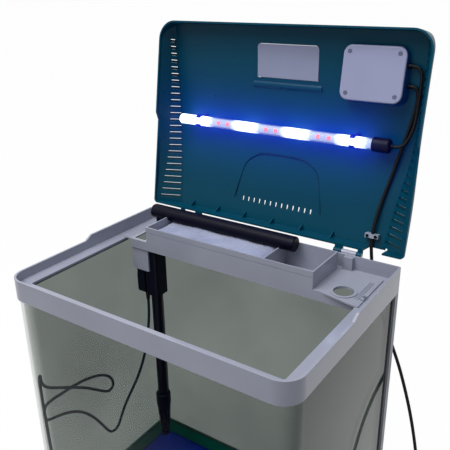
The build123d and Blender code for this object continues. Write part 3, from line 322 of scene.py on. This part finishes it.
# Top frame and corner guards. White plastic, which the dim room turns lavender grey: a band with
# a stepped rim and a ledge inside it, L-shaped guards down the two rear corners, steel hinge pins.
white_plastic = moulded("white frame plastic", seen(152, 155, 170), 0.15, coat=0.2)
dress(white_plastic, "top_frame")
dress(moulded("grey guard plastic", seen(134, 138, 146), 0.35), "corner_trims")


def metal(name, colour, gloss):
    """Drawn or turned metal, with fine scratches."""
    material, tree, out = new_shader(name)
    shader = tree.nodes.new("ShaderNodeBsdfPrincipled")
    shader.inputs["Metallic"].default_value = 1.0
    worn = noise(tree, scale=500.0, detail=4.0)
    join(
        tree,
        (blend_colours(tree, worn, toned(colour, 0.8), colour), shader.inputs["Base Color"]),
        (spread(tree, worn, gloss * 0.8, gloss * 1.4), shader.inputs["Roughness"]),
        (shader.outputs[0], out.inputs[0]),
    )
    return material


dress(metal("bright steel", seen(190, 192, 198), 0.28), "hinge_pins", "hatch_pin")

# Lid. A crowned shell in sea-green plastic on the hinge pins. Round the lit lamp the lamp's light is
# painted on it as a blue glow, strongest beside the tube and gone at the lid's edges.
# A line along X is given by its Y and Z, in metres; the lamp is lit between two places on its line.
joints = {joint["name"]: joint for joint in frame["record"]["behaviour"]["joints"]}
HINGE_LINE = joints["lid_hinge"]["pos_m"][1:]
LID_OPEN = math.radians(joints["lid_hinge"]["range_deg"][1])
LID_EDGE = (0.1442, 0.4788)
LID_OUTWARD = (0.0, math.sin(LID_OPEN), math.cos(LID_OPEN))
LAMP_LINE = joints["lamp_turn"]["pos_m"][1:]
LAMP_FROM, LAMP_TO = -0.150, 0.115
NEAR_REACH, WIDE_REACH = 0.008, 0.024
PAINTED_GLOW_BLUE = (0.01, 0.03, 1.0, 1)


def from_lamp(tree):
    """How far a point of the open lid is from the lit part of the lamp, in metres."""
    kept = tree.nodes.new("ShaderNodeClamp")
    kept.inputs["Min"].default_value = LAMP_FROM
    kept.inputs["Max"].default_value = LAMP_TO
    nearest = tree.nodes.new("ShaderNodeCombineXYZ")
    nearest.inputs["Y"].default_value, nearest.inputs["Z"].default_value = LAMP_LINE
    gap = tree.nodes.new("ShaderNodeVectorMath")
    gap.operation = "DISTANCE"
    join(
        tree,
        (own_place(tree)["X"], kept.inputs["Value"]),
        (kept.outputs[0], nearest.inputs["X"]),
        (coordinates(tree), gap.inputs[0]),
        (nearest.outputs[0], gap.inputs[1]),
    )
    return gap.outputs["Value"]


def fading(tree, distance, reach, amount):
    """Painted light that falls away with distance, to about a third at reach."""
    fall = maths(tree, "EXPONENT", maths(tree, "MULTIPLY", distance, -1 / reach))
    return maths(tree, "MULTIPLY", fall, amount)


def inner_side(tree):
    """1 where the open lid's surface looks into the lid, and little where it looks outward."""
    along = tree.nodes.new("ShaderNodeVectorMath")
    along.operation = "DOT_PRODUCT"
    along.inputs[1].default_value = LID_OUTWARD
    join(tree, (tree.nodes.new("ShaderNodeTexCoord").outputs["Normal"], along.inputs[0]))
    return spread(tree, along.outputs["Value"], 1.0, 0.1, from_low=0.0, from_high=0.6)


def lamp_glow_painted_plastic(name, colour, gloss, near, wide):
    """Moulded plastic with the lamp's light painted on it as a blue glow: brightly near the lamp, and
    faintly in a wide ring.
    """
    material = moulded(name, colour, gloss, drift=0.05, shine=0.12)
    tree = material.node_tree
    shader = next(n for n in tree.nodes if n.type == "BSDF_PRINCIPLED")
    distance = from_lamp(tree)
    bright = fading(tree, distance, NEAR_REACH, near)
    faint = fading(tree, distance, WIDE_REACH, wide)
    # Painted light: the lamp's blue glow, kept to the faces that look into the lid.
    glow = maths(tree, "MULTIPLY", maths(tree, "ADD", bright, faint), inner_side(tree))
    join(tree, (glow, shader.inputs["Emission Strength"]))
    shader.inputs["Emission Color"].default_value = PAINTED_GLOW_BLUE
    return material


def on_lid(x, forward, up):
    """A point given on the shut lid in millimetres, where it is with the lid open."""
    dy = LID_EDGE[0] - forward / 1000 - HINGE_LINE[0]
    dz = LID_EDGE[1] + up / 1000 - HINGE_LINE[1]
    y = HINGE_LINE[0] + dy * math.cos(LID_OPEN) + dz * math.sin(LID_OPEN)
    return (x / 1000, y, HINGE_LINE[1] - dy * math.sin(LID_OPEN) + dz * math.cos(LID_OPEN))


dress(lamp_glow_painted_plastic("lid plastic", seen(0, 64, 84), 0.32, near=1.6, wide=0.55), "lid_shell")

# The lid's stations: how far forward of its rear edge, then roof height, half width of the roof,
# top of the side band and foot of the side slots, in millimetres.
LID_STATIONS = [
    (0.0, 27.0, 175.0, 2.5, 5.0),
    (45.0, 32.0, 180.0, 5.0, 11.0),
    (95.0, 37.0, 187.5, 3.5, 16.5),
    (140.0, 40.5, 193.4, -1.0, 17.0),
    (190.0, 33.5, 196.0, -3.0, 16.0),
    (240.0, 25.0, 198.2, -3.0, 12.5),
    (290.5, 13.5, 199.5, -2.0, 6.5),
]


def station(forward):
    """The lid's section between two stations."""
    for near, far in zip(LID_STATIONS, LID_STATIONS[1:]):
        if forward <= far[0]:
            break
    share = (forward - near[0]) / (far[0] - near[0])
    return [a + share * (b - a) for a, b in zip(near[1:], far[1:])]


# Side louvres. Both sides of the lid have a row of upright slots, and a thin slanting slat lies
# across each, moulded with the wall, so that air passes and nobody sees through.
SIDE_WALL_X = 211.5
SLOT_COUNT, FIRST_SLOT, SLOT_PITCH, SLOT_HALF = 25, 12.0, 10.4, 2.2
SLOT_TOP_GAP = 1.5
# The slat's four edges in order round it: how far along the lid, and how far out through the wall.
SLAT_EDGES = ((-SLOT_HALF, 0.1), (-SLOT_HALF, 0.9), (1.4, 2.4), (1.4, 1.6))


def add_slat(form, forward, side):
    """One louvre: a thin slat that lies across its slot, from the wall's inner to its outer face."""
    roof, edge, band, foot = station(forward)
    slope = (SIDE_WALL_X - edge) / (roof - band)
    ends = [Vector((side * (SIDE_WALL_X - (up - band) * slope), up)) for up in (foot, roof - SLOT_TOP_GAP)]
    along = (ends[1] - ends[0]).normalized()
    outward = Vector((along.y, -along.x)) * side
    loops = []
    for end in ends:
        corners = [(end + outward * out, forward + shift) for shift, out in SLAT_EDGES]
        loops.append([form.verts.new(on_lid(spot.x, place, spot.y)) for spot, place in corners])
    form.faces.new(loops[0])
    form.faces.new(reversed(loops[1]))
    for k in range(len(SLAT_EDGES)):
        form.faces.new((loops[0][k], loops[1][k], loops[1][k - 1], loops[0][k - 1]))


def piece_from(form, name):
    """Ends work on a form and sets it out as a piece of its own, with its faces turned outward."""
    bmesh.ops.recalc_face_normals(form, faces=form.faces)
    mesh = bpy.data.meshes.new(name)
    form.to_mesh(mesh)
    form.free()
    return set_out(name, mesh)


def side_louvres():
    """All the slats of both sides, as one piece."""
    form = bmesh.new()
    for side in (-1, 1):
        for k in range(SLOT_COUNT):
            add_slat(form, FIRST_SLOT + SLOT_PITCH * k, side)
    return piece_from(form, "side_louvres")


louvres = side_louvres()
# The louvres carry the lamp's light painted on them as a blue glow.
louvres.data.materials.append(lamp_glow_painted_plastic("louvre plastic", seen(0, 50, 62), 0.3, near=1.6, wide=0.45))
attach(louvres, "lid")

# Panel bead. A raised line moulded round the sunk panel over the row of vents in the roof, in plastic
# darker than the lid: painted shade along the panel's edge. The right half of the panel's edge is given
# across and forward of the lid's rear edge, in millimetres.
PANEL_RIGHT = [(36, 105), (52, 96), (63, 86), (69, 60), (75, 30)]
PANEL = [(-x, forward) for x, forward in reversed(PANEL_RIGHT)] + PANEL_RIGHT
BEAD_THICK = 0.0018
BEAD_PROUD = 0.2


def round_line(name, points, thick, steps=10, sides=4):
    """A smooth round line steered by its points, in metres."""
    line = bpy.data.curves.new(name, "CURVE")
    line.dimensions = "3D"
    line.resolution_u = steps
    line.bevel_depth = thick / 2
    line.bevel_resolution = sides
    line.use_fill_caps = True
    spline = line.splines.new("NURBS")
    spline.points.add(len(points) - 1)
    for spot, point in zip(spline.points, points):
        spot.co = (*point, 1.0)
    spline.order_u = 3
    spline.use_endpoint_u = True
    return set_out(name, line)


bead_points = [on_lid(x, forward, station(forward)[0] + BEAD_PROUD) for x, forward in PANEL]
bead = round_line("panel_bead", bead_points, BEAD_THICK, steps=12, sides=2)
# The bead also carries the lamp's light painted on it as a blue glow.
bead.data.materials.append(lamp_glow_painted_plastic("bead plastic", seen(0, 46, 62), 0.3, near=1.6, wide=0.4))
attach(bead, "lid")

# Feeding hatch. A door of white plastic that fills the opening in the lid's roof. A barrel moulded
# on it turns on a steel pin, and the door flips open for feeding.
dress(moulded("hatch plastic", seen(146, 151, 180), 0.22, coat=0.15), "feeding_hatch")

# Lamp. A clear tube shut with a black cap, held in two snap clips; inside it lies a white circuit
# strip with cool white diodes and, in pairs, red ones. The white ones outshine the tube.
# The diodes repeat in groups along X. Distances count from a red pair some groups left of the first.
LED_GROUP = 0.086
RED_PAIR_X = -0.1034
GROUPS_LEFT = 4
WHITE_EDGE = (0.018, 0.030)
LEFT_WHITE = (-0.150, -0.135)


def lamp_tube_shine():
    """Clear by the red diodes, and lit from within by the white groups and at the left end."""
    material, tree, out = new_shader("lit tube")
    along = own_place(tree)["X"]
    from_first = maths(tree, "SUBTRACT", along, RED_PAIR_X - GROUPS_LEFT * LED_GROUP)
    from_red_pair = maths(tree, "PINGPONG", from_first, LED_GROUP / 2)
    group = spread(tree, from_red_pair, 0.1, 1.0, *WHITE_EDGE)
    left_end = spread(tree, along, 1.0, 0.0, *LEFT_WHITE)
    bright = maths(tree, "MAXIMUM", group, left_end)
    clear = tree.nodes.new("ShaderNodeBsdfTransparent")
    clear.inputs["Color"].default_value = (0.94, 0.96, 1.0, 1)
    skin = tree.nodes.new("ShaderNodeBsdfPrincipled")
    skin.inputs["Roughness"].default_value = 0.06
    skin.inputs["Emission Color"].default_value = (0.80, 0.88, 1.0, 1)
    ripple = noise(tree, scale=90.0)
    blotch = blend_colours(tree, ripple, (0.74, 0.80, 0.95, 1), (0.92, 0.95, 1.0, 1))
    glow = spread(tree, bright, 0.05, 1.6, from_low=0.0, from_high=1.0)
    milky = spread(tree, bright, 0.1, 0.6, from_low=0.0, from_high=1.0)
    join(
        tree,
        (blotch, skin.inputs["Base Color"]),
        (glow, skin.inputs["Emission Strength"]),
        (mix_shaders(tree, milky, clear, skin).outputs[0], out.inputs[0]),
    )
    return material


def glowing(name, colour, strength):
    """A diode's lens: it glows, a little unevenly."""
    material, tree, out = new_shader(name)
    shader = tree.nodes.new("ShaderNodeBsdfPrincipled")
    shader.inputs["Roughness"].default_value = 0.25
    shader.inputs["Emission Color"].default_value = colour
    body = blend_colours(tree, noise(tree, scale=400.0), toned(colour, 0.6), colour)
    glow = spread(tree, noise(tree, scale=300.0), strength * 0.8, strength * 1.2)
    join(
        tree,
        (body, shader.inputs["Base Color"]),
        (glow, shader.inputs["Emission Strength"]),
        (shader.outputs[0], out.inputs[0]),
    )
    return material


dress(lamp_tube_shine(), "lamp_tube")
dress(glowing("white diode", (0.85, 0.92, 1.0, 1), 5.0), "leds_white")
dress(glowing("red diode", (1.0, 0.05, 0.08, 1), 1.6), "leds_red")
# The circuit strip is no lamp: its faint blue glow is painted light from its diodes.
dress(glowing("circuit strip", (0.45, 0.52, 0.92, 1), 0.35), "led_strip")
# The cap and the clips carry the lamp's light painted on them as a blue glow.
dress(lamp_glow_painted_plastic("lamp cap plastic", seen(4, 5, 16), 0.4, near=0.6, wide=0.12), "lamp_end_cap")
dress(lamp_glow_painted_plastic("clip plastic", seen(10, 30, 90), 0.3, near=0.9, wide=0.3), "lamp_clips")

# Power box. It carries the lamp's switch gear: a body moulded like the lid, a white cover with
# four screws, two glands, and further back a saddle that clamps the supply lead.
# The box body carries the lamp's light painted on it as a faint blue glow.
dress(lamp_glow_painted_plastic("box body plastic", seen(10, 66, 132), 0.3, near=0.8, wide=0.25), "power_box")
black_plastic = moulded("black moulded plastic", seen(5, 5, 24), 0.36, shine=0.1)
dress(black_plastic, "box_glands", "clamp_screws")
dress(moulded("box cover plastic", seen(148, 152, 184), 0.2, coat=0.2), "power_box_cover")
dress(moulded("screw heads", seen(96, 100, 126), 0.4), "box_screws")
dress(moulded("saddle plastic", seen(150, 160, 176), 0.35), "cable_clamp")

# Filter tray. White like the frame: a deep trough between two shelves that rest on the frame's
# ledge, with a catch on the right shelf and a strap down to the pump.
dress(white_plastic, "filter_tray", "tray_catch", "pump_hanger")

# Spray bar, riser, pump, intake and strainer. Black plastic pieces pushed into each other; the
# impeller has a magnet and turns on a ceramic shaft.
dress(black_plastic, "spray_bar", "bar_plug", "bar_elbow", "riser_pipe", "pump_motor", "pump_housing")
dress(black_plastic, "intake_pipe", "pipe_collar", "strainer")
dress(moulded("rotor plastic", seen(40, 55, 100), 0.4), "impeller")
dress(moulded("ceramic", seen(226, 226, 220), 0.2), "impeller_shaft")


# Lamp cable. A round lead in a black rubber sheath that runs from the power box to the lamp's
# cap, in a loose bow. Its line is a spline steered by the same points as in the part's source.
def sheath(name, colour):
    """Rubber sheath: a dull skin with fine drag marks and dust."""
    material, tree, out = new_shader(name)
    shader = tree.nodes.new("ShaderNodeBsdfPrincipled")
    shader.inputs["Specular IOR Level"].default_value = 0.15
    dust = noise(tree, scale=120.0, detail=5.0)
    dusty = (*[c * 1.4 + 0.002 for c in colour[:3]], 1.0)
    tone = blend_colours(tree, spread(tree, dust, 0.0, 0.6), colour, dusty)
    relief(tree, shader, noise(tree, scale=900.0), 0.00005)
    join(
        tree,
        (tone, shader.inputs["Base Color"]),
        (spread(tree, dust, 0.36, 0.56), shader.inputs["Roughness"]),
        (shader.outputs[0], out.inputs[0]),
    )
    return material


black_rubber = sheath("black rubber", seen(13, 13, 18))
LEAD_THICK = 0.0045
lamp_route = [
    on_lid(182.0, 246.0, 19.0),
    on_lid(190.0, 246.0, 19.0),
    on_lid(195.4, 240.0, 19.4),
    on_lid(196.6, 229.0, 20.6),
    on_lid(196.3, 211.0, 23.0),
    on_lid(195.4, 186.0, 25.8),
    on_lid(193.8, 167.0, 26.2),
    on_lid(188.4, 151.5, 25.4),
    on_lid(181.0, 142.0, 24.0),
    on_lid(171.3, 142.0, 24.0),
]
lamp_cable = round_line("lamp_cable", lamp_route, LEAD_THICK)
lamp_cable.data.materials.append(black_rubber)
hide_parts("lamp_lead")
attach(lamp_cable, "lid")

# Mains cable. It leaves the power box, runs down the lid through the saddle, drops behind the
# tank over the hinge, and what is left of it lies in a round coil on the floor, with its plug.
MAINS_THICK = 0.0048
COIL_MIDDLE = (0.330, 0.229)
COIL_RADIUS = 0.037
COIL_STEP = 0.0064
COIL_LOW, COIL_RISE = 0.0025, 0.0056
COIL_INWARD, COIL_CLIMB, COIL_OUTWARD = 2.5, 0.5, 3.0
TURN_POINTS = 16


def coil_point(turn):
    """The coil: inward on the floor, half a turn of climb, then outward on the first layer."""
    climb = min(max((turn - COIL_INWARD) / COIL_CLIMB, 0.0), 1.0)
    radius = COIL_RADIUS - COIL_STEP * min(turn, COIL_INWARD)
    radius += COIL_STEP * max(turn - COIL_INWARD - COIL_CLIMB, 0.0)
    angle = 2 * math.pi * turn - math.pi / 2
    return (
        COIL_MIDDLE[0] + radius * math.cos(angle),
        COIL_MIDDLE[1] + radius * math.sin(angle),
        COIL_LOW + COIL_RISE * climb * climb * (3 - 2 * climb),
    )


along_lid = [
    on_lid(182.0, 221.0, 24.0),
    on_lid(190.0, 221.0, 24.0),
    on_lid(193.0, 212.5, 26.6),
    on_lid(192.0, 200.0, 29.0),
    on_lid(189.0, 181.0, 31.6),
    on_lid(183.6, 158.0, 34.6),
    on_lid(177.6, 132.0, 35.6),
    on_lid(171.4, 102.0, 33.8),
    on_lid(165.6, 74.0, 30.8),
    on_lid(161.4, 50.0, 27.8),
    on_lid(159.5, 29.0, 24.4),
    on_lid(159.5, 14.0, 24.4),
    on_lid(159.5, 6.0, 24.4),
    on_lid(161.6, -6.0, 23.2),
]
behind_tank = [
    (0.1650, 0.1733, 0.455),
    (0.1715, 0.1716, 0.431),
    (0.1810, 0.1704, 0.400),
    (0.1935, 0.1700, 0.369),
    (0.2060, 0.1700, 0.340),
    (0.2185, 0.1700, 0.311),
    (0.2300, 0.1702, 0.277),
    (0.2405, 0.1704, 0.242),
    (0.2490, 0.1708, 0.207),
    (0.2560, 0.1716, 0.172),
    (0.2620, 0.1728, 0.136),
    (0.2675, 0.1748, 0.101),
    (0.2735, 0.1780, 0.068),
    (0.2810, 0.1825, 0.038),
    (0.2920, 0.1885, 0.013),
    (0.3080, 0.1920, 0.0025),
]
coil_turns = COIL_INWARD + COIL_CLIMB + COIL_OUTWARD
coil = [coil_point(k / TURN_POINTS) for k in range(int(coil_turns * TURN_POINTS) + 1)]
to_plug = [(0.3500, 0.1882, 0.0081), (0.3680, 0.1871, 0.0078), (0.3900, 0.1838, 0.0075)]
mains_route = along_lid + behind_tank + coil + to_plug


def drawn(piece):
    """A line as Blender draws it, as a mesh."""
    return bpy.data.meshes.new_from_object(piece.evaluated_get(bpy.context.evaluated_depsgraph_get()))


def as_mesh(piece):
    """The cable as a mesh tube, and the fine points of its middle line."""
    tube = drawn(piece)
    piece.data.bevel_depth = 0.0
    middle = drawn(piece)
    points = [v.co.copy() for v in middle.vertices]
    bpy.data.meshes.remove(middle)
    name = piece.name
    bpy.data.objects.remove(piece)
    tube.shade_smooth()
    return set_out(name, tube), points


mains_cable, mains_middle = as_mesh(round_line("mains_cable", mains_route, MAINS_THICK))
mains_cable.data.materials.append(black_rubber)
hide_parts("supply_lead", "lead_flex", "mains_cord", "mains_coil", "mains_tail")
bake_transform(mains_cable)
dress(black_rubber, "mains_plug", "pump_plug")
dress(metal("plated brass", seen(206, 190, 140), 0.25), "mains_prongs", "pump_prongs")

# Pump cable. It comes out of a tapered gland under the motor, wanders down inside the glass in
# the loops that it was packed in, and its plug lies on the tank's floor.
pump_route = [
    (-0.1720, 0.0770, 0.3490),
    (-0.1720, 0.0770, 0.3250),
    (-0.1732, 0.0730, 0.2930),
    (-0.1756, 0.0665, 0.2570),
    (-0.1820, 0.0560, 0.2180),
    (-0.1910, 0.0445, 0.1870),
    (-0.1985, 0.0310, 0.1600),
    (-0.2020, 0.0215, 0.1380),
    (-0.2032, 0.0125, 0.1190),
    (-0.2035, -0.0045, 0.1180),
    (-0.2035, -0.0180, 0.1410),
    (-0.2035, -0.0320, 0.1655),
    (-0.2035, -0.0500, 0.1905),
    (-0.2035, -0.0710, 0.2090),
    (-0.2035, -0.0940, 0.2200),
    (-0.2032, -0.1140, 0.2255),
    (-0.2026, -0.1270, 0.2295),
    (-0.2015, -0.1310, 0.2425),
    (-0.2026, -0.1265, 0.2555),
    (-0.2040, -0.1120, 0.2570),
    (-0.2044, -0.0950, 0.2554),
    (-0.2045, -0.0740, 0.2555),
    (-0.2045, -0.0440, 0.2518),
    (-0.2040, -0.0160, 0.2430),
    (-0.2032, 0.0005, 0.2325),
    (-0.2020, 0.0095, 0.2200),
    (-0.2004, 0.0085, 0.2070),
    (-0.1990, -0.0050, 0.2055),
    (-0.1978, -0.0220, 0.2185),
    (-0.1968, -0.0500, 0.2425),
    (-0.1970, -0.0790, 0.2615),
    (-0.1986, -0.1050, 0.2760),
    (-0.2014, -0.1200, 0.2850),
    (-0.2023, -0.1265, 0.2960),
    (-0.2023, -0.1265, 0.3110),
    (-0.1945, -0.1345, 0.3110),
    (-0.1944, -0.1346, 0.2970),
    (-0.1936, -0.1352, 0.2790),
    (-0.1942, -0.1346, 0.2580),
    (-0.1932, -0.1348, 0.2320),
    (-0.1946, -0.1336, 0.2050),
    (-0.1934, -0.1330, 0.1720),
    (-0.1938, -0.1316, 0.1380),
    (-0.1924, -0.1306, 0.1040),
    (-0.1905, -0.1280, 0.0720),
    (-0.1835, -0.1225, 0.0450),
    (-0.1680, -0.1155, 0.0295),
    (-0.1450, -0.1090, 0.0250),
    (-0.1150, -0.1030, 0.0254),
    (-0.0920, -0.0985, 0.0295),
    (-0.0720, -0.0985, 0.0295),
]
pump_cable = round_line("pump_cable", pump_route, LEAD_THICK)
pump_cable.data.materials.append(sheath("blue-black rubber", seen(12, 30, 40)))
dress(black_rubber, "pump_gland")
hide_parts("pump_cord")
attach(pump_cable, "tank")

# Filter wool. A loose pad of white polyester wool that lies in the trough, left of its divider. It
# is soft and lumpy on top, rounded at its edges and frayed all over.
WOOL_GRID = (66, 24)
WOOL_ROUND_ENDS, WOOL_ROUND_SIDES = 24, 8
WOOL_SINK, WOOL_EDGE_DROP = 0.0015, 0.010
WOOL_WAVE, WAVES_ALONG, WAVES_ACROSS = 0.0012, 90, 140
WOOL_FRAY = 0.0006


def wool_pad():
    """A grid sunk at its edges and roughened, with a skirt and a floor."""
    low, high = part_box("filter_wool")
    size = high - low
    form = bmesh.new()
    bmesh.ops.create_grid(form, x_segments=WOOL_GRID[0], y_segments=WOOL_GRID[1], size=0.5)
    tufts = random.Random(7)
    for v in form.verts:
        along, across = v.co.x * 2, v.co.y * 2
        edge = max(abs(along) ** WOOL_ROUND_ENDS, abs(across) ** WOOL_ROUND_SIDES)
        v.co.x = low.x + size.x * (along + 1) / 2
        v.co.y = low.y + size.y * (across + 1) / 2
        wave = WOOL_WAVE * math.sin(v.co.x * WAVES_ALONG) * math.sin(v.co.y * WAVES_ACROSS + 1)
        top = high.z - WOOL_SINK - WOOL_EDGE_DROP * min(edge, 1.0)
        v.co.z = top + wave + tufts.uniform(-WOOL_FRAY, WOOL_FRAY)
    skirt = bmesh.ops.extrude_edge_only(form, edges=[e for e in form.edges if e.is_boundary])
    for part in skirt["geom"]:
        if isinstance(part, bmesh.types.BMVert):
            part.co.z = low.z
    bmesh.ops.contextual_create(form, geom=[e for e in form.edges if e.is_boundary])
    pad = piece_from(form, "wool_pad")
    pad.data.shade_smooth()
    return pad


def wool_fibre():
    """Matted fibre: tufts that stand up from it, and tone that clouds."""
    material, tree, out = new_shader("polyester wool")
    shader = tree.nodes.new("ShaderNodeBsdfPrincipled")
    shader.inputs["Roughness"].default_value = 0.95
    shader.inputs["Sheen Weight"].default_value = 0.5
    shader.inputs["Sheen Roughness"].default_value = 0.6
    relief(tree, shader, noise(tree, scale=260.0, detail=8.0), 0.0012)
    clouds = spread(tree, noise(tree, scale=30.0, detail=4.0), 0.0, 1.0)
    tone = blend_colours(tree, clouds, seen(122, 130, 162), seen(150, 158, 190))
    join(tree, (tone, shader.inputs["Base Color"]), (shader.outputs[0], out.inputs[0]))
    return material


wool = wool_pad()
wool.data.materials.append(wool_fibre())
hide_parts("filter_wool")
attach(wool, "tank")
